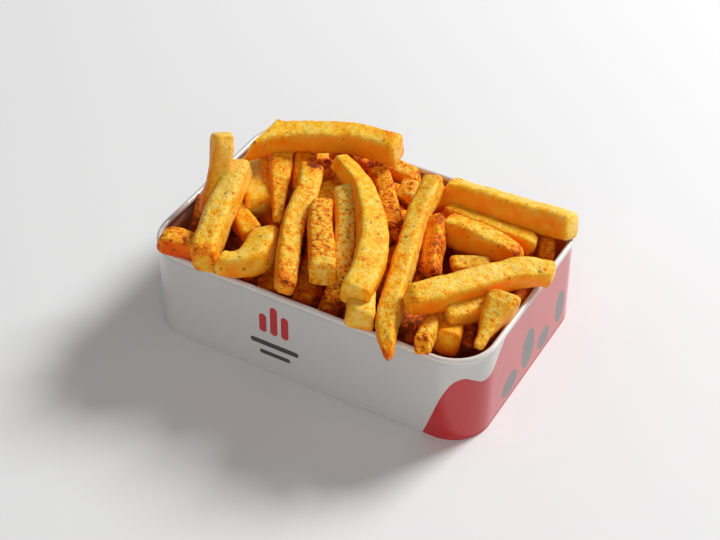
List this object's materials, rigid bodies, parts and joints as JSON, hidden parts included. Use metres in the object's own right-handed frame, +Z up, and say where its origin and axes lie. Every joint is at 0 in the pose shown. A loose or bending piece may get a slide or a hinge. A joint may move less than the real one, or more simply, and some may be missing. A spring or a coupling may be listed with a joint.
{
  "type": "french fries in a paper carton",
  "caption": "Loose heap of thick-cut french fries in an open rectangular paper tub with round corners and a rolled rim.",
  "frame": {"origin": "middle of the carton's flat underside, which rests on the table", "axes": "+X along the carton's long side, +Z up, -Y towards the long wall that carries the printed emblem"},
  "size_m": [0.1559, 0.1142, 0.072],
  "materials": {
    "carton": "smooth coated white board with a dark red and grey print, satin",
    "fries": "fried potato, golden with browned edges and dark seasoning specks, slightly oily"
  },
  "bodies": {
    "root": {"carton": "carton", "fries": "fries"}
  },
  "joints": []
}
